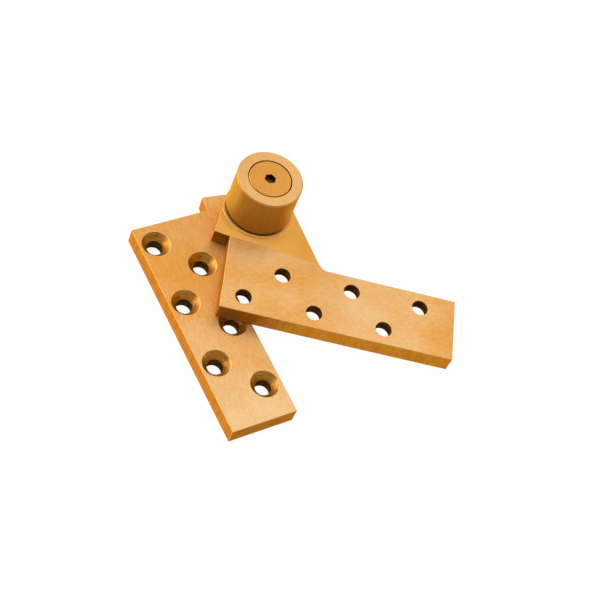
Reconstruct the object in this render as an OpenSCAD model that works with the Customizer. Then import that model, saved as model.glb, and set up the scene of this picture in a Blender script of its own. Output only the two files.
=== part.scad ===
// Offset pivot hinge with a retractable pivot pin.
//
// Two flat leaves lie in stacked planes and turn about one upright pivot.
// The lower leaf is let into the top edge of a door and the upper leaf into
// the frame head above it. Each leaf reaches out to the pivot by a short arm.
// The upper arm carries a barrel, in which a captive screw raises and lowers
// the pivot pin, so that the door can be hung and lifted off.
//
// Frame: millimetres, +Z up. The origin is on the underside of the door leaf
// at the centre of its screw pattern, and +X runs along the door leaf.

/* [Leaves] */
// Length of each leaf
leaf_len = 108; // [100:1:125]
// Width of each leaf
leaf_w = 31.75; // [30:0.25:36]
// Thickness of each leaf
leaf_t = 8.8; // [8:0.1:10]
// Angle between the two leaves as they lie
open_angle = 57; // [0:1:180]

/* [Screw holes] */
// Screws in each of the two rows
row_screws = 3; // [2:1:3]
// Distance between neighbours in one row
screw_pitch = 32.5; // [30:0.5:34]
// First screw of the outer row from the knuckle end of the leaf
first_screw = 10.1; // [9:0.1:12]
// Distance between the two rows
row_gap = 16; // [14:0.5:17]
// Clear hole for a screw
screw_hole_d = 7.5; // [6.5:0.1:8]
// Countersink at the face of the leaf
countersink_d = 13.3; // [12:0.1:14]
// Included angle of the countersink
countersink_angle = 82; // [80:1:100]

/* [Arm] */
// Pivot axis from the knuckle end of the leaf, along the leaf
pivot_along = 10.95; // [9:0.05:13]
// Pivot axis beyond the inner long edge of the leaf
pivot_offset = 26.1; // [24:0.1:29]
// Radius of the round end of the arm
arm_end_r = 15.8; // [15.6:0.1:17.5]
// Lean of the arm's short side, and of the shoulder square to it
arm_lean = 7.5; // [4:0.5:10]
// Lean of the arm's long side that braces it to the leaf
brace_lean = 30; // [24:1:36]
// Fillet between the brace and the leaf
brace_fillet_r = 4.8; // [3:0.1:7]
// Shoulder above the inner long edge, at the knuckle end of the leaf
shoulder_rise = 6.85; // [5:0.05:8]
// Depth of the milled relief round the barrel seat
relief_depth = 0.4; // [0.2:0.05:0.8]
// Lean of the relief's edge, which runs from the shoulder across to the brace
relief_lean = 5.5; // [4:0.5:8]
// Width of the raised ring left round the foot of the barrel
seat_ring_w = 1.7; // [1:0.1:2.2]

/* [Barrel] */
// Diameter of the barrel
barrel_d = 30.6; // [30:0.1:31]
// Height of the barrel above the leaf
barrel_h = 22.7; // [21.5:0.1:26]
// Chamfer on the top edge of the barrel
barrel_edge = 0.5; // [0.3:0.05:0.8]
// Chamfer at the foot of the barrel, which shows as a dark seam
barrel_foot_edge = 0.5; // [0.2:0.05:0.6]
// Diameter of the spigot pressed into the frame leaf
spigot_d = 24; // [22:0.5:26]
// Thickness of the web that carries the screw head
web_t = 3; // [2.5:0.1:3.5]

/* [Adjusting screw] */
// Diameter of the screw's flat head
head_d = 19.8; // [18:0.1:21]
// Thickness of the head
head_t = 4.6; // [4.2:0.1:5]
// Chamfer on the head's top edge
head_edge = 0.3; // [0.2:0.05:0.5]
// Gap round the head
head_gap = 0.35; // [0.2:0.05:0.5]
// Hexagon socket across its flats
hex_af = 4.76; // [4:0.01:6]
// Depth of the hexagon socket
hex_depth = 3.2; // [2.5:0.1:3.6]
// Turn of the hexagon socket as the screw lies
hex_turn = 23; // [0:1:59]
// Diameter of the screw's thread
thread_d = 8; // [7.5:0.1:8.5]
// Depth of the groove for the retaining clip
clip_groove = 0.8; // [0.5:0.05:1]
// Thickness of the retaining clip
clip_t = 1; // [0.8:0.05:1.2]
// Width of the retaining clip's rim outside the thread
clip_rim = 2; // [1.5:0.1:2.5]

/* [Pivot pin] */
// Diameter of the pivot pin
pin_d = 12.7; // [12.2:0.1:13.2]
// Gap between the lowered pin and the underside of the door leaf
pin_recess = 0.4; // [0.2:0.05:0.8]
// Height of the raised pin's end inside the frame leaf
pin_park = 0.65; // [0.3:0.05:1]
// Solid end of the pin below its tapped hole
pin_nose = 3; // [2:0.1:4]
// Chamfer on the pin's lower end
pin_edge = 0.8; // [0.5:0.1:1.2]

/* [Bushings and washer] */
// Outside diameter of the door leaf's bushing
door_bush_d = 19; // [18:0.5:20]
// Outside diameter of the guide bushing
guide_bush_d = 17.4; // [17:0.1:18.5]
// Length of the guide bushing
guide_bush_len = 14; // [13:0.1:15]
// Diameter of the key that stops the pin from turning
key_d = 2.5; // [2:0.1:3]
// How far the key reaches into the pin
key_reach = 1.05; // [0.8:0.05:1.2]
// Height of the key above the guide bushing's lower end
key_height = 10; // [9.5:0.1:11]
// Outside diameter of the thrust washer between the leaves
washer_d = 28; // [24:0.5:31]
// Thickness of the thrust washer
washer_t = 0.55; // [0.5:0.05:1]

/* [Clearances] */
// Running fit on the radius, for the pin and the screw
run_gap = 0.05; // [0.03:0.01:0.08]
// Free gap on the radius round the washer's hole, the key and the screw
free_gap = 0.15; // [0.1:0.05:0.25]
// Free gap at the ends of a travel
end_gap = 0.4; // [0.3:0.05:0.6]

/* [Hidden] */
// Levels, from the underside of the door leaf
washer_z = leaf_t;
frame_z = washer_z + washer_t;
face_z = frame_z + leaf_t;
barrel_top_z = face_z + barrel_h;
web_top_z = barrel_top_z - head_t;
web_z = web_top_z - web_t;
clip_top_z = web_z - free_gap;
clip_z = clip_top_z - clip_t;

// Travel of the pin: it leaves the door leaf and parks in the frame leaf
pin_travel = frame_z + pin_park - pin_recess;
pin_top_z = clip_z - end_gap - pin_travel;
pin_len = pin_top_z - pin_recess;
tapped_depth = pin_len - pin_nose;
screw_tip_z = pin_top_z - tapped_depth + pin_travel + end_gap;

// Radii that pair up
pin_r = pin_d / 2;
pin_bore_r = pin_r + run_gap;
thread_r = thread_d / 2;
tapped_r = thread_r + run_gap;
head_r = head_d / 2;
head_bore_r = head_r + head_gap;
barrel_r = barrel_d / 2;
seat_ring_r = barrel_r + seat_ring_w;
key_z = frame_z + key_height;
slot_w = key_d + 2 * free_gap;
slot_r = pin_r - key_reach - free_gap;

// Plan of a leaf, with the pivot axis at its origin
end_x = -pivot_along;
inner_y = -pivot_offset;
outer_y = inner_y - leaf_w;
shoulder_y = inner_y + shoulder_rise;
screw_mid_x = end_x + first_screw + screw_pitch * (row_screws - 1) / 2 + screw_pitch / 4;
screw_mid_y = (inner_y + outer_y) / 2;
pivot_at = [-screw_mid_x, -screw_mid_y, 0];

// Points of the arm: where its two sides leave the round end, the corners of
// the shoulder, where the brace meets the leaf, and the relief's far corner
short_side = [cos(arm_lean), -sin(arm_lean)];
brace_out = [cos(brace_lean), sin(brace_lean)];
short_tangent = -arm_end_r * short_side;
brace_tangent = arm_end_r * brace_out;
shoulder_root = [end_x, shoulder_y];
shoulder_out = shoulder_root * short_side + arm_end_r;
shoulder_tip = shoulder_root - shoulder_out * short_side;
brace_root = [(arm_end_r - inner_y * brace_out[1]) / brace_out[0], inner_y];
fillet_mid = brace_root + brace_fillet_r * [tan(45 - brace_lean / 2), 1];
relief_tip = shoulder_root + (fillet_mid[0] - end_x) * [1, -tan(relief_lean)];

cut = 1;
reach = 2 * leaf_len;
bronze = [0.86, 0.60, 0.28];
bright_bronze = [0.92, 0.70, 0.42];
oilite = [0.66, 0.48, 0.26];
steel = [0.70, 0.71, 0.72];
spring_steel = [0.36, 0.37, 0.39];
$fn = 96;

// The concave corner between the brace and the leaf
module brace_fillet() {
    difference() {
        linear_extrude(leaf_t) polygon([
            fillet_mid,
            [fillet_mid[0], inner_y - cut],
            brace_root - [cut, cut],
            fillet_mid - (brace_fillet_r + cut) * brace_out
        ]);
        translate([fillet_mid[0], fillet_mid[1], -cut]) cylinder(r = brace_fillet_r, h = leaf_t + 2 * cut);
    }
}

// Blank that both leaves share: a flat bar and the arm that reaches the pivot
module leaf_blank() {
    translate([end_x, outer_y, 0]) cube([leaf_len, leaf_w, leaf_t]);
    linear_extrude(leaf_t) polygon([
        [end_x, screw_mid_y],
        shoulder_root,
        shoulder_tip,
        short_tangent,
        brace_tangent,
        brace_root,
        [brace_root[0], screw_mid_y]
    ]);
    cylinder(r = arm_end_r, h = leaf_t);
    brace_fillet();
}

// One screw hole, countersunk at z = 0 and running down
module screw_hole() {
    hole_r = screw_hole_d / 2;
    sink_r = countersink_d / 2;
    slope = tan(countersink_angle / 2);
    sink_depth = (sink_r - hole_r) / slope;
    translate([0, 0, -leaf_t - cut]) cylinder(r = hole_r, h = leaf_t + 2 * cut);
    translate([0, 0, -sink_depth]) cylinder(r1 = hole_r, r2 = sink_r + cut * slope, h = sink_depth + cut);
}

// Two rows of screws, the inner row set half a pitch further along
module each_screw() {
    for (row = [0, 1], i = [0 : row_screws - 1]) {
        along = end_x + first_screw + screw_pitch * (i + row / 2);
        across = screw_mid_y + row_gap * (row - 0.5);
        translate([along, across, 0]) children();
    }
}

// A leaf with its underside at z = 0 and a round hole for the pivot
module plate(bore_r) {
    difference() {
        leaf_blank();
        translate([0, 0, -cut]) cylinder(r = bore_r, h = leaf_t + 2 * cut);
        children();
    }
}

// Everything on the frame's side turns about the pivot
module on_pivot(z = 0) {
    translate(pivot_at + [0, 0, z]) children();
}

module on_frame(z = 0) {
    on_pivot(z) rotate([0, 0, open_angle]) children();
}

module ring(inner_r, outer_r, h) {
    difference() {
        cylinder(r = outer_r, h = h);
        translate([0, 0, -cut]) cylinder(r = inner_r, h = h + 2 * cut);
    }
}

// The arm's face is milled down round the seat ring, up to a line that runs
// from the shoulder across to the brace
module seat_relief() {
    difference() {
        linear_extrude(relief_depth + cut) polygon([
            shoulder_root,
            relief_tip,
            [relief_tip[0], reach],
            [-reach, reach],
            [-reach, shoulder_y - cut],
            [end_x, shoulder_y - cut]
        ]);
        translate([0, 0, -cut]) cylinder(r = seat_ring_r, h = relief_depth + 3 * cut);
    }
}

module door_leaf() {
    color(bronze) on_pivot() plate(door_bush_d / 2) {
        each_screw() translate([0, 0, leaf_t]) screw_hole();
    }
}

module door_bushing() {
    color(oilite) on_pivot() ring(pin_bore_r, door_bush_d / 2, leaf_t);
}

module thrust_washer() {
    color(oilite) on_pivot(washer_z) ring(pin_bore_r + free_gap, washer_d / 2, washer_t);
}

module frame_leaf() {
    color(bronze) on_frame(frame_z) plate(spigot_d / 2) {
        each_screw() mirror([0, 0, 1]) screw_hole();
        translate([0, 0, leaf_t - relief_depth]) seat_relief();
    }
}

// Turned from bar: a spigot for the leaf, a bore for the guide bushing and the
// pin, and a counterbore over the web for the screw's head
module barrel() {
    spigot_r = spigot_d / 2;
    bore_r = guide_bush_d / 2;
    shank_r = thread_r + free_gap;
    color(bronze) on_frame() rotate_extrude() polygon([
        [bore_r, frame_z],
        [spigot_r, frame_z],
        [spigot_r, face_z],
        [barrel_r - barrel_foot_edge, face_z],
        [barrel_r, face_z + barrel_foot_edge],
        [barrel_r, barrel_top_z - barrel_edge],
        [barrel_r - barrel_edge, barrel_top_z],
        [head_bore_r, barrel_top_z],
        [head_bore_r, web_top_z],
        [shank_r, web_top_z],
        [shank_r, web_z],
        [bore_r, web_z]
    ]);
}

module guide_bushing() {
    color(oilite) on_frame(frame_z) difference() {
        ring(pin_bore_r, guide_bush_d / 2, guide_bush_len);
        translate([0, 0, key_height]) rotate([0, 90, 0]) cylinder(d = key_d, h = guide_bush_d);
    }
}

// Short dowel through the guide bushing's wall, into the slot in the pin
module key_pin() {
    key_in = pin_r - key_reach;
    color(steel) on_frame(key_z) rotate([0, 90, 0]) translate([0, 0, key_in])
        cylinder(d = key_d, h = guide_bush_d / 2 - free_gap - key_in);
}

// Steel pin, tapped from above for the screw and slotted for the key
module pivot_pin() {
    slot_foot = key_height + frame_z - pin_recess - pin_travel - key_d / 2 - end_gap;
    color(steel) on_frame(pin_recess) difference() {
        rotate_extrude() polygon([
            [0, 0],
            [pin_r - pin_edge, 0],
            [pin_r, pin_edge],
            [pin_r, pin_len - pin_edge / 2],
            [pin_r - pin_edge / 2, pin_len],
            [tapped_r, pin_len],
            [tapped_r, pin_nose],
            [0, pin_nose]
        ]);
        translate([slot_r, -slot_w / 2, slot_foot]) cube([pin_r, slot_w, pin_len]);
    }
}

// Flat-headed socket screw, held down by the clip under the barrel's web
module adjusting_screw() {
    groove_r = thread_r - clip_groove;
    groove_top = clip_top_z + free_gap / 3;
    groove_foot = clip_z - free_gap / 3;
    color(bright_bronze) on_frame() difference() {
        rotate_extrude() polygon([
            [0, screw_tip_z],
            [thread_r - clip_groove, screw_tip_z],
            [thread_r, screw_tip_z + clip_groove],
            [thread_r, groove_foot],
            [groove_r, groove_foot],
            [groove_r, groove_top],
            [thread_r, groove_top],
            [thread_r, web_top_z],
            [head_r, web_top_z],
            [head_r, barrel_top_z - head_edge],
            [head_r - head_edge, barrel_top_z],
            [0, barrel_top_z]
        ]);
        translate([0, 0, barrel_top_z - hex_depth]) rotate([0, 0, hex_turn])
            cylinder(d = hex_af / cos(30), h = hex_depth + cut, $fn = 6);
    }
}

// Open ring of spring steel in the screw's groove
module retaining_clip() {
    groove_r = thread_r - clip_groove;
    color(spring_steel) on_frame(clip_z) difference() {
        ring(groove_r, thread_r + clip_rim, clip_t);
        translate([0, -groove_r * 0.8, -cut]) cube([thread_d + clip_rim, groove_r * 1.6, clip_t + 2 * cut]);
    }
}

door_leaf();
door_bushing();
thrust_washer();
frame_leaf();
barrel();
guide_bushing();
key_pin();
pivot_pin();
adjusting_screw();
retaining_clip();
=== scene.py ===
"""Looks of an offset pivot hinge: two satin bronze leaves in stacked planes, joined by a
pivot pin that a captive screw in the barrel draws up."""

from math import radians

import bmesh
import bpy
from mathutils import Matrix, Vector


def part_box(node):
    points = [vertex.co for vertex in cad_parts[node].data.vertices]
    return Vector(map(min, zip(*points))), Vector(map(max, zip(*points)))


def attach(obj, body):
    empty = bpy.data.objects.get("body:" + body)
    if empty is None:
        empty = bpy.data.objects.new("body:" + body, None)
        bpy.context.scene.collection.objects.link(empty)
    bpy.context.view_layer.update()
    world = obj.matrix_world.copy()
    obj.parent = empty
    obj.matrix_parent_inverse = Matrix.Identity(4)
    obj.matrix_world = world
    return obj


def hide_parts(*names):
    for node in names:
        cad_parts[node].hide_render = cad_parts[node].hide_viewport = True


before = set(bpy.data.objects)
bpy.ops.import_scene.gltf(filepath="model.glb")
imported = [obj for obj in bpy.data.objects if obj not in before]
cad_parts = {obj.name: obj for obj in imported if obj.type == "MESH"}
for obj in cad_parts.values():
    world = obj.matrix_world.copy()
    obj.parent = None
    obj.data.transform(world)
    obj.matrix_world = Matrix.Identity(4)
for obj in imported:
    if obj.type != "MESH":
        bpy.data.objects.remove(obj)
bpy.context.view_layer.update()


# Door leaf. The lower leaf is a flat bronze bar with a short arm, sawn and milled to shape,
# drilled and countersunk for six wood screws, then satin brushed along its length on a belt.
# It is let into the top edge of the door, so its finished face looks up at the frame leaf.

MM = 0.001
bushing_low, bushing_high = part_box("door_bushing")
pivot_axis = (bushing_low + bushing_high) / 2

screw_pitch = 32.5 * MM
row_gap = 16 * MM
countersink_r = 6.65 * MM
leaf_edge_break = 0.22 * MM
mark_depth = 0.012 * MM
# Direction in which the painted shade on the barrel's seat is strongest.
seam_front = (0.65, -0.76, 0)

# Satin face colours: partly the brushed finish, partly a painted sheen from the light above.
satin_sheen_pale = (0.82, 0.55, 0.26)
satin_sheen_deep = (0.74, 0.305, 0.032)
milled_pale = (0.92, 0.46, 0.090)
milled_deep = (0.86, 0.39, 0.058)
# Sawn wall colours: partly the sawn finish, partly painted shade, darker than the face.
sawn_shade_pale = (0.80, 0.325, 0.020)
sawn_shade_deep = (0.58, 0.212, 0.010)
# Painted shade in the holes: countersinks darker than the face, bores near black; the dark
# brown also draws the countersinks' tool rings.
sink_shade_gold = (0.54, 0.225, 0.018)
bore_shade_and_ring_brown = (0.07, 0.032, 0.004)
# Painted shade for walls that face away from the light, and for painted shadows.
raw_brown = (0.24, 0.155, 0.034)
# Painted shade for the frame leaf's end over the door leaf.
end_shade_gold = (0.46, 0.245, 0.024)
# Painted light on the arm's face by the barrel, lifting it out of the barrel's shadow.
painted_light_gold = (1.0, 0.535, 0.115)
# Painted highlight on the eased edges and the barrel's top chamfer.
edge_highlight_gold = (0.92, 0.56, 0.20)
sheen_tint = (1.0, 0.45, 0.08, 1.0)


class Value:
    """A socket that takes part in plain arithmetic, which adds the Math nodes."""

    def __init__(self, finish, socket):
        self.finish = finish
        self.socket = socket

    def math(self, operation, *values):
        sockets = dict(enumerate(values))
        return self.finish.node("Math", {"operation": operation}, sockets)

    def __add__(self, other):
        return self.math("ADD", self, other)

    def __radd__(self, other):
        return self.math("ADD", other, self)

    def __sub__(self, other):
        return self.math("SUBTRACT", self, other)

    def __rsub__(self, other):
        return self.math("SUBTRACT", other, self)

    def __mul__(self, other):
        return self.math("MULTIPLY", self, other)

    def __rmul__(self, other):
        return self.math("MULTIPLY", other, self)

    def __truediv__(self, other):
        return self.math("DIVIDE", self, other)

    def __gt__(self, other):
        return self.math("GREATER_THAN", self, other)

    def size(self):
        return self.math("ABSOLUTE", self)

    def ramp(self, low, high):
        """0 below low, 1 above high and smooth between."""
        limits = {"Value": self, "From Min": low, "From Max": high}
        return self.finish.node("MapRange", {"interpolation_type": "SMOOTHSTEP"}, limits)


class Finish:
    """One procedural finish: a Principled shader and the nodes that drive it."""

    def __init__(self, name, **constants):
        self.material = bpy.data.materials.new(name)
        self.material.use_nodes = True
        self.tree = self.material.node_tree
        self.shader = self.tree.nodes["Principled BSDF"]
        self.place = self.node("TexCoord", {}, {}, "Object")
        self.facing = self.node("TexCoord", {}, {}, "Normal")
        self.drive(**constants)

    def node(self, kind, settings, sockets, out=0):
        made = self.tree.nodes.new("ShaderNode" + kind)
        for name, value in settings.items():
            setattr(made, name, value)
        for name, value in sockets.items():
            self.feed(made.inputs[name], value)
        return Value(self, made.outputs[out])

    def feed(self, socket, value):
        if isinstance(value, Value):
            self.tree.links.new(value.socket, socket)
        else:
            socket.default_value = value

    def drive(self, **sockets):
        for name, value in sockets.items():
            self.feed(self.shader.inputs[name.replace("_", " ").title()], value)

    def mix(self, share, first, second):
        colours = {0: share}
        for slot, colour in ((6, first), (7, second)):
            colours[slot] = colour if isinstance(colour, Value) else (*colour, 1)
        return self.node("Mix", {"data_type": "RGBA"}, colours, 2)

    def turned(self, centre, angle=0.0):
        """Object coordinates about a centre, with X along the piece's own length."""
        sockets = {"Vector": self.place, "Location": centre, "Rotation": (0, 0, angle)}
        return self.node("Mapping", {"vector_type": "TEXTURE"}, sockets)

    def part(self, place, axis):
        return self.node("SeparateXYZ", {}, {"Vector": place}, axis)

    def off_axis(self, place):
        """How far out a place lies from the upright axis."""
        level = self.node("VectorMath", {"operation": "MULTIPLY"}, {0: place, 1: (1, 1, 0)})
        return self.node("VectorMath", {"operation": "LENGTH"}, {0: level}, "Value")

    def toward(self, place, direction):
        """How far a place lies in a direction."""
        sockets = {0: place, 1: direction}
        return self.node("VectorMath", {"operation": "DOT_PRODUCT"}, sockets, "Value")

    def level(self):
        """1 on level faces, either way up, and 0 on walls and slopes."""
        return self.part(self.facing, "Z").size().ramp(0.90, 0.98)

    def grain(self, place, lengths, detail=2.0):
        """Noise whose marks have the given lengths along X, Y and Z."""
        scale = tuple(1 / length for length in lengths)
        stretched = self.node("Mapping", {}, {"Vector": place, "Scale": scale})
        return self.node("TexNoise", {}, {"Vector": stretched, "Scale": 1.0, "Detail": detail})

    def tool_marks(self, feed, pitch):
        """Noise along one measure only, such as the radius on a turned face."""
        sockets = {"W": feed, "Scale": 1 / pitch}
        return self.node("TexNoise", {"noise_dimensions": "1D"}, sockets)

    def marked(self, name):
        """A mask that was written on the faces when the piece was made."""
        return self.node("Attribute", {"attribute_name": name}, {}, "Fac")

    def bump(self, height, depth):
        return self.node("Bump", {}, {"Height": height, "Distance": depth})


def eased_copy(node, edge_break, **marks):
    """A merged copy of a CAD node with its arrises eased. The new narrow faces are marked
    as edge, and each further mark goes on the faces that its test picks out."""
    merge_distance = 0.05 * MM
    flatness = radians(0.5)
    arris_angle = radians(25)
    crease_angle = radians(50)

    shape = bmesh.new()
    shape.from_mesh(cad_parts[node].data)
    bmesh.ops.remove_doubles(shape, verts=shape.verts, dist=merge_distance)
    bmesh.ops.dissolve_limit(
        shape, angle_limit=flatness, verts=shape.verts, edges=shape.edges
    )
    arrises = [e for e in shape.edges if e.calc_face_angle_signed() > arris_angle]
    eased = bmesh.ops.bevel(
        shape, geom=arrises, offset=edge_break, offset_type="OFFSET", affect="EDGES",
        segments=2, profile=0.5, material=-1, clamp_overlap=False,
    )
    narrow = set(eased["faces"])
    marks["edge"] = lambda face: face in narrow
    for name, picked in marks.items():
        layer = shape.loops.layers.float.new(name)
        for face in shape.faces:
            face.smooth = True
            for loop in face.loops:
                loop[layer] = float(picked(face))
    for edge in shape.edges:
        edge.smooth = edge.calc_face_angle_signed() > -crease_angle
    mesh = bpy.data.meshes.new(node + "_dressed")
    shape.to_mesh(mesh)
    shape.free()
    piece = bpy.data.objects.new(node + "_dressed", mesh)
    bpy.context.scene.collection.objects.link(piece)
    flats = piece.modifiers.new("flat faces stay flat", "WEIGHTED_NORMAL")
    flats.weight = 100
    flats.keep_sharp = True
    return piece


def fit(piece, body, slot, finish, *nodes):
    piece.data.materials.clear()
    piece.data.materials.append(finish.material)
    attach(piece, body)
    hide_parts(*nodes)


def screw_places(centre, angle):
    """Axes of a leaf's six screws: the two rows are half a pitch apart."""
    turn = Matrix.Rotation(angle, 2)
    for row in (-1, 1):
        for along in (-1, 0, 1):
            place = Vector(((along + row / 4) * screw_pitch, row * row_gap / 2))
            yield centre + turn @ place


def hole_marks(screws):
    """Marks for the bores and for the countersinks, which are told apart by their slope."""
    def sloping(low, high):
        def picked(face):
            place = face.calc_center_median().xy
            near = min((place - screw).length for screw in screws) < countersink_r
            return near and low <= abs(face.normal.z) < high
        return picked
    return {"bore": sloping(0, 0.3), "sink": sloping(0.3, 0.95)}


def leaf_finish(name, centre, angle, sheen_tones, shade=0.0):
    """Brushed plate with sawn walls. Its sheen tones paint light and shade on the face at the
    knuckle end, middle and far end; shade paints shade on the outer wall by the knuckle."""
    finish = Finish(name, coat_roughness=0.22, specular_tint=sheen_tint)
    along = finish.turned(centre, angle)
    length = finish.part(along, "X")
    across = finish.part(along, "Y")
    from_pivot = finish.turned((*pivot_axis.xy, 0))
    radius = finish.off_axis(from_pivot)
    flat = finish.level()
    bore = finish.marked("bore")
    sink = finish.marked("sink")
    milled = finish.marked("milled")
    raw = finish.marked("raw")

    # The belt's fine and coarse scratches, and the broad unevenness under them.
    hairlines = finish.grain(along, (9 * MM, 0.10 * MM, 0.10 * MM))
    streaks = finish.grain(along, (2.4 * MM, 0.32 * MM, 0.32 * MM), detail=3.0)
    clouds = finish.grain(along, (22 * MM, 16 * MM, 16 * MM), detail=1.0)
    blotches = 0.6 * streaks.ramp(0.25, 0.75) + 0.3 * clouds.ramp(0.3, 0.7) - 0.15
    # Painted sheen along the face: lighter or darker by where the light falls along its
    # length.
    start, middle, end = sheen_tones
    tone = start + (middle - start) * length.ramp(-20 * MM, 14 * MM)
    tone = tone + (end - middle) * length.ramp(30 * MM, 54 * MM)
    # Painted light round the pivot, where the parts above and beside the face would shade it.
    painted_light_by_pivot = 0.2 * (1 - radius.ramp(20 * MM, 40 * MM))
    # The satin colours carry a painted sheen as well as the brushed finish.
    satin = finish.mix(blotches + painted_light_by_pivot + tone, satin_sheen_deep, satin_sheen_pale)

    # The milled arm: the cutter's rings, with painted light by the barrel, where its shadow
    # falls, and painted shadow beside its seat.
    cutter = finish.tool_marks(radius, 0.35 * MM)
    spotface = finish.mix(blotches + 0.4 * cutter, milled_deep, milled_pale)
    spotface = finish.mix(1 - radius.ramp(18 * MM, 30 * MM), spotface, painted_light_gold)
    # Painted shadow of the barrel on the arm, just outside the seat on the door leaf's side.
    leafward = finish.toward(from_pivot, (0, -1, 0)) / radius
    foot_shade = 0.35 * (1 - radius.ramp(17.2 * MM, 20.0 * MM)) * leafward.ramp(0.85, 1.0)
    spotface = finish.mix(foot_shade, spotface, raw_brown)

    # The walls: level saw lines, crossed by upright bands, in colours partly darkened by
    # painted shade.
    sawn = finish.grain(along, (7 * MM, 7 * MM, 0.25 * MM))
    kerf = finish.grain(along, (1.2 * MM, 30 * MM, 6 * MM))
    bands = finish.grain(along, (14 * MM, 14 * MM, 1.1 * MM), detail=3.0)
    cut = 0.4 * sawn.ramp(0.3, 0.7) + 0.6 * kerf.ramp(0.3, 0.7)
    sides = finish.mix(cut, sawn_shade_deep, sawn_shade_pale)
    # Painted shade on the frame leaf's outer wall, strongest by the knuckle.
    by_knuckle = 1 - length.ramp(-50 * MM, 2 * MM)
    outer = 1 - across.ramp(-15 * MM, -12 * MM)
    sides = finish.mix(shade * outer * (0.25 + by_knuckle), sides, raw_brown)

    # The holes: tool rings, and finer chatter that spreads the shine of the countersinks. The
    # countersinks and bores are painted in shade.
    rings = finish.grain(along, (4 * MM, 4 * MM, 0.4 * MM))
    chatter = finish.grain(along, (9 * MM, 9 * MM, 0.15 * MM))
    ringed = rings.ramp(0.45, 0.7)
    cone = finish.mix(0.7 * ringed, sink_shade_gold, bore_shade_and_ring_brown)

    # The seam at the barrel's foot: painted shade on the seat, most of it on the front.
    seat = finish.marked("seat")
    front = finish.toward(from_pivot, seam_front) / radius
    seam = seat * (1 - radius.ramp(15.6 * MM, 16.0 * MM)) * (0.1 + 0.8 * front.ramp(0.1, 0.7))

    colour = finish.mix(milled, finish.mix(flat, sides, satin), spotface)
    # Painted shade on the shaded walls, broken by upright bands.
    colour = finish.mix(raw * (0.7 + 0.6 * bands.ramp(0.4, 0.6)), colour, raw_brown)
    # Painted shade on the frame leaf's end over the door leaf, broken by upright bands.
    colour = finish.mix(finish.marked("sawn_end") * (0.8 + 0.4 * bands), colour, end_shade_gold)
    # Painted shade in the countersinks and the bores.
    colour = finish.mix(sink, colour, cone)
    colour = finish.mix(bore * (1 - 0.5 * ringed), colour, bore_shade_and_ring_brown)
    colour = finish.mix(seam, colour, bore_shade_and_ring_brown)
    # Painted highlight along the eased edges.
    colour = finish.mix(finish.marked("edge") * 0.45, colour, edge_highlight_gold)

    wear = 0.38 + 0.10 * streaks + 0.06 * hairlines
    brushed = (1 - milled) * hairlines + 0.6 * milled * cutter
    upright = 0.7 * sawn * (1 - sink) + 1.6 * chatter * sink
    finish.drive(
        base_color=colour,
        metallic=0.75 - 0.30 * flat - 0.10 * milled - 0.15 * sink + 0.25 * raw,
        roughness=wear - 0.12 * sink + 0.16 * milled + 0.4 * bore,
        coat_weight=0.3 * flat * (1 - milled) + 0.35 * sink,
        normal=finish.bump(flat * brushed + (1 - flat) * upright, mark_depth),
    )
    return finish


def far_end(face):
    """Picks out the door leaf's sawn end, which is painted darker than its long walls, as
    shade.
    """
    return 0.6 * (face.normal.x > 0.9)


door_screws = list(screw_places(Vector((0, 0)), 0.0))
door_leaf = eased_copy("door_leaf", leaf_edge_break, raw=far_end, **hole_marks(door_screws))
# Its sheen tones are painted light, paler towards the far end.
door_finish = leaf_finish(
    "satin_bronze_door_leaf", (0, 0, 0), 0.0, sheen_tones=(-0.15, 0.15, 0.5)
)
fit(door_leaf, "door_side", "leaf_bronze", door_finish, "door_leaf")


# Frame leaf. The upper leaf is the same bar, turned face down into the frame head, so its
# countersinks open downwards and only plain holes show. The face of its arm is milled a
# little lower, round a raised seat for the barrel, and is left smoother than the leaf.

open_angle = radians(57)
frame_middle = pivot_axis.xy + Matrix.Rotation(open_angle, 2) @ -pivot_axis.xy
frame_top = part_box("frame_leaf")[1].z
step_middle = frame_top - 0.2 * MM
leaf_half_w = 15.9 * MM
seat_r = 17.0 * MM

frame_screws = list(screw_places(frame_middle, open_angle))


def on_frame_leaf(face):
    """A face's middle and normal in plan, with X along the frame leaf."""
    turn = Matrix.Rotation(-open_angle, 2)
    return turn @ (face.calc_center_median().xy - frame_middle), turn @ face.normal.xy


def knuckle_end(face):
    """Picks out the leaf's sawn end over the door leaf, which is painted in shade."""
    place, normal = on_frame_leaf(face)
    return 0.8 * (normal.x < -0.9 and place.y < leaf_half_w)


def shoulder(face):
    """Picks out the wall beside the knuckle end, where the arm begins, which is painted in
    shade.
    """
    place, normal = on_frame_leaf(face)
    return normal.y < -0.9 and place.y > 0


def barrel_seat(face):
    """Picks out the raised ring round the barrel's foot."""
    middle = face.calc_center_median()
    raised = face.normal.z > 0.99 and middle.z > step_middle
    return raised and (middle.xy - pivot_axis.xy).length < seat_r


def spotfaced(face):
    """Picks out the arm's milled face, its low step and the barrel's seat."""
    height = face.calc_center_median().z
    lowered = face.normal.z > 0.99 and height < step_middle
    step = abs(height - step_middle) < 0.15 * MM and face.normal.z < 0.3
    return lowered or step or barrel_seat(face)


frame_leaf = eased_copy(
    "frame_leaf",
    leaf_edge_break,
    milled=spotfaced,
    sawn_end=knuckle_end,
    raw=shoulder,
    seat=barrel_seat,
    **hole_marks(frame_screws),
)
# Its sheen tones are painted light, palest in the middle.
frame_finish = leaf_finish(
    "satin_bronze_frame_leaf",
    (*frame_middle, 0),
    open_angle,
    sheen_tones=(0.03, 0.35, -0.05),
    shade=0.54,
)
fit(frame_leaf, "frame_side", "leaf_bronze", frame_finish, "frame_leaf")


# Barrel. A turned bronze bush, pressed into the frame leaf by a spigot. It houses the pin,
# and a counterbore in its top takes the head of the adjusting screw.

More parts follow.
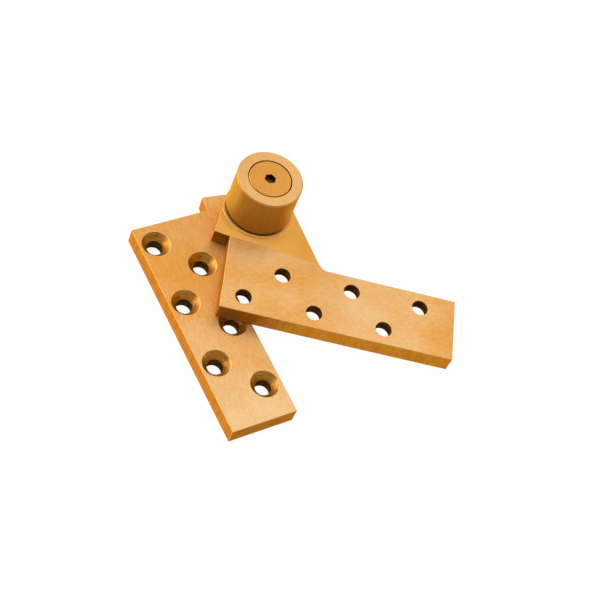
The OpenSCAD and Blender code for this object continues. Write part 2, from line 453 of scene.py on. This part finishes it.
barrel_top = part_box("barrel")[1].z
barrel_foot = frame_top - pivot_axis.z
counterbore_r = 10.4 * MM
barrel_edge_break = 0.08 * MM
chamfer_reach = 1.0 * MM
feed_depth = 0.006 * MM
foot_front = (0.80, -0.60, 0)

turned_light = (0.75, 0.43, 0.15)
turned_deep = (0.68, 0.345, 0.09)
# Painted shade: the sides of turned pieces are darker than their flat faces.
side_shade = (0.77, 0.71, 0.28)
# Painted shade for the barrel's recesses, the screw's socket and the barrel's foot.
seam_brown = (0.10, 0.040, 0.004)


def turned_finish(name, light, deep, roughness, shades_foot=False, flat_rough=0.0, **turning):
    """Lathe-turned metal with fine feed lines. With shades_foot, the foot gets painted shade
    on its front.
    """
    finish = Finish(name, coat_roughness=0.2, specular_tint=sheen_tint, **turning)
    centred = finish.turned(pivot_axis)
    radius = finish.off_axis(centred)
    height = finish.part(centred, "Z")
    flat = finish.level()
    rim = finish.marked("rim")

    feed = flat * radius + (1 - flat) * height
    tool = finish.tool_marks(feed, 0.12 * MM)
    bands = finish.tool_marks(feed, 1.1 * MM)
    drawn = finish.grain(centred, (0.8 * MM, 0.8 * MM, 14 * MM))
    tone = 0.4 * bands.ramp(0.3, 0.7) + 0.6 * drawn.ramp(0.3, 0.7)
    # The sides are painted darker than the flat faces, as shade.
    shaded_deep, shaded_light = (
        tuple(part * shade for part, shade in zip(colour, side_shade))
        for colour in (deep, light)
    )
    sides = finish.mix(tone, shaded_deep, shaded_light)
    if shades_foot:
        # Painted shade on the barrel's front: darker towards the foot, darkest in the crease
        # at the foot.
        front = finish.toward(centred, foot_front) / radius
        lower_half = 1 - height.ramp(barrel_foot - 0.75 * MM, barrel_foot + 18.25 * MM)
        crease = 1 - height.ramp(barrel_foot + 0.55 * MM, barrel_foot + 1.25 * MM)
        foot_shade = (0.07 + 0.28 * lower_half + 0.8 * crease) * front.ramp(0.1, 0.7)
        sides = finish.mix(foot_shade, sides, seam_brown)

    colour = finish.mix(flat, sides, finish.mix(tone, deep, light))
    # Painted highlight along the eased edges and the top chamfer.
    colour = finish.mix(finish.marked("edge") * 0.4, colour, edge_highlight_gold)
    colour = finish.mix(rim * 0.35, colour, edge_highlight_gold)
    # Painted shade in the recesses picked out when the piece was made.
    colour = finish.mix(finish.marked("seam"), colour, seam_brown)
    finish.drive(
        base_color=colour,
        metallic=0.92 - 0.17 * flat,
        roughness=roughness + 0.10 * bands + flat_rough * flat + 0.25 * rim,
        coat_weight=0.4 * flat,
        normal=finish.bump(0.5 * tool + 0.3 * drawn, feed_depth),
    )
    return finish


def from_axis(face):
    return (face.calc_center_median().xy - pivot_axis.xy).length


def top_chamfer(face):
    """Picks out the chamfer round the barrel's top."""
    height = face.calc_center_median().z
    return 0.3 < face.normal.z < 0.9 and height > barrel_top - chamfer_reach


def barrel_seams(face):
    """Picks out the counterbore's wall, and the undercut at the foot, which are painted in
    shade.
    """
    slope = face.normal.z
    return -0.9 < slope < 0.3 and (from_axis(face) < counterbore_r or slope < -0.3)


barrel = eased_copy("barrel", barrel_edge_break, rim=top_chamfer, seam=barrel_seams)
barrel_finish = turned_finish(
    "turned_bronze_barrel",
    turned_light,
    turned_deep,
    0.38,
    shades_foot=True,
    flat_rough=-0.12,
    anisotropic=0.85,
    anisotropic_rotation=0.25,
)
fit(barrel, "frame_side", "turned_bronze", barrel_finish, "barrel")


# Adjusting screw. A flat bronze head that lies flush in the barrel, with a hexagon socket.
# It is held down by a clip under the barrel's web, so that turning it lifts the pin.

head_light = (0.67, 0.295, 0.042)
head_deep = (0.60, 0.250, 0.028)
socket_r = 2.8 * MM
head_edge_break = 0.06 * MM


def in_the_shade(face):
    """Picks out the socket's walls and the side of the head, and its floor less."""
    below_top = face.calc_center_median().z < barrel_top - 0.1 * MM
    socket = from_axis(face) < socket_r and below_top
    return max(0.35 * socket, abs(face.normal.z) < 0.3)


screw = eased_copy("adjusting_screw", head_edge_break, seam=in_the_shade)
screw_finish = turned_finish("turned_bronze_screw", head_light, head_deep, 0.30)
fit(screw, "screw", "screw_bronze", screw_finish, "adjusting_screw")


# Bushings and thrust washer. Sintered bearing bronze, a duller brown than the leaves: one
# bush in each leaf guides the pin, and the washer keeps the two leaves apart.

bearing_light = (0.62, 0.36, 0.14)
bearing_deep = (0.48, 0.25, 0.08)
small_edge_break = 0.05 * MM

for node, body in (
    ("door_bushing", "door_side"),
    ("thrust_washer", "door_side"),
    ("guide_bushing", "frame_side"),
):
    piece = eased_copy(node, small_edge_break)
    finish = turned_finish("bearing_bronze_" + node, bearing_light, bearing_deep, 0.45)
    fit(piece, body, "bearing_bronze", finish, node)


# Pivot pin, key and retaining clip. The pin and its key are ground steel; the clip is
# stamped from blued spring steel, and snaps into the screw's groove under the web.

for node, body, slot, light, deep in (
    ("pivot_pin", "pin", "pin_steel", (0.62, 0.63, 0.64), (0.48, 0.49, 0.50)),
    ("key_pin", "frame_side", "pin_steel", (0.60, 0.61, 0.62), (0.46, 0.47, 0.48)),
    ("retaining_clip", "screw", "spring_steel", (0.20, 0.21, 0.24), (0.12, 0.125, 0.14)),
):
    piece = eased_copy(node, small_edge_break)
    finish = turned_finish("ground_steel_" + node, light, deep, 0.28)
    fit(piece, body, slot, finish, node)


# Stage. A plain white floor with a low round backdrop; a broad softbox behind and above,
# which the faces of the leaves mirror; a key lamp and a lower side lamp at the left, and a
# low strip lamp at the right.

floor_half = 3.0
backdrop_r = 2.9
backdrop_h = 0.9
floor_gap = 0.05 * MM
backdrop_glow = 1.06

floor_shape = bmesh.new()
bmesh.ops.create_grid(floor_shape, x_segments=1, y_segments=1, size=floor_half)
wall_shape = bmesh.new()
bmesh.ops.create_circle(wall_shape, segments=96, radius=backdrop_r)
raised = bmesh.ops.extrude_edge_only(wall_shape, edges=list(wall_shape.edges))["geom"]
wall_top = [part for part in raised if isinstance(part, bmesh.types.BMVert)]
bmesh.ops.translate(wall_shape, verts=wall_top, vec=(0, 0, backdrop_h))
paper = Finish("white_paper", roughness=0.9)
for name, shape in (("floor", floor_shape), ("backdrop", wall_shape)):
    bmesh.ops.translate(shape, verts=shape.verts, vec=(0, 0, -floor_gap))
    mesh = bpy.data.meshes.new(name)
    shape.to_mesh(mesh)
    shape.free()
    mesh.materials.append(paper.material)
    sheet = bpy.data.objects.new(name, mesh)
    bpy.context.scene.collection.objects.link(sheet)


def seen_share(owner, share):
    """Share for the rays that look at the backdrop, straight, mirrored or through glass."""
    camera_ray, glossy_ray, transmission_ray = (
        owner.node("LightPath", {}, {}, f"Is {kind} Ray")
        for kind in ("Camera", "Glossy", "Transmission")
    )
    return (camera_ray + glossy_ray + transmission_ray > 0.5) * share


lit_grey = (0.4, 0.4, 0.4)
seen_white = (0.9, 0.9, 0.9)
paper.drive(base_color=paper.mix(seen_share(paper, 1.0), lit_grey, seen_white))
surface = paper.node("MixShader", {}, {
    0: seen_share(paper, 0.9),
    1: Value(paper, paper.shader.outputs[0]),
    2: paper.node("Emission", {}, {"Strength": backdrop_glow}),
})
paper.feed(paper.tree.nodes["Material Output"].inputs["Surface"], surface)

world = bpy.data.worlds.new("studio")
world.use_nodes = True
sky = world.node_tree.nodes["Background"]
sky.inputs["Color"].default_value = (1, 1, 1, 1)
sky.inputs["Strength"].default_value = 0.50
bpy.context.scene.world = world

lamp_target = Vector((0.0, 0.04, 0.01))
lamp_distance = 0.8


def softbox(name, direction, width, height, power):
    lamp = bpy.data.lights.new(name, "AREA")
    lamp.shape = "RECTANGLE"
    lamp.size = width
    lamp.size_y = height
    lamp.energy = power
    holder = bpy.data.objects.new(name, lamp)
    aim = Vector(direction).normalized()
    holder.location = lamp_target + aim * lamp_distance
    holder.rotation_mode = "QUATERNION"
    holder.rotation_quaternion = aim.to_track_quat("Z", "Y")
    bpy.context.scene.collection.objects.link(holder)


softbox("overhead softbox", (-0.10, 0.42, 0.90), width=0.75, height=0.75, power=2.0)
softbox("key lamp", (-0.68, -0.74, 0.45), width=0.7, height=0.7, power=4.5)
softbox("side lamp", (-0.92, -0.28, 0.26), width=0.45, height=0.45, power=1.9)
softbox("strip lamp", (0.35, 0.90, 0.30), width=0.15, height=0.5, power=0.7)

camera_place = Vector((0.26779, -0.25825, 0.56026))
camera_aim = Vector((0.00744, 0.04250, 0.010))
camera_roll = radians(26.40)
camera_data = bpy.data.cameras.new("camera")
camera_data.sensor_width = 36
camera_data.lens = 89.97
camera_data.clip_start = 0.01
camera = bpy.data.objects.new("camera", camera_data)
camera.location = camera_place
camera.rotation_mode = "QUATERNION"
look = (camera_aim - camera_place).to_track_quat("-Z", "Y")
camera.rotation_quaternion = look @ Matrix.Rotation(camera_roll, 3, "Z").to_quaternion()
bpy.context.scene.collection.objects.link(camera)
bpy.context.scene.camera = camera
bpy.context.scene.view_settings.view_transform = "Standard"
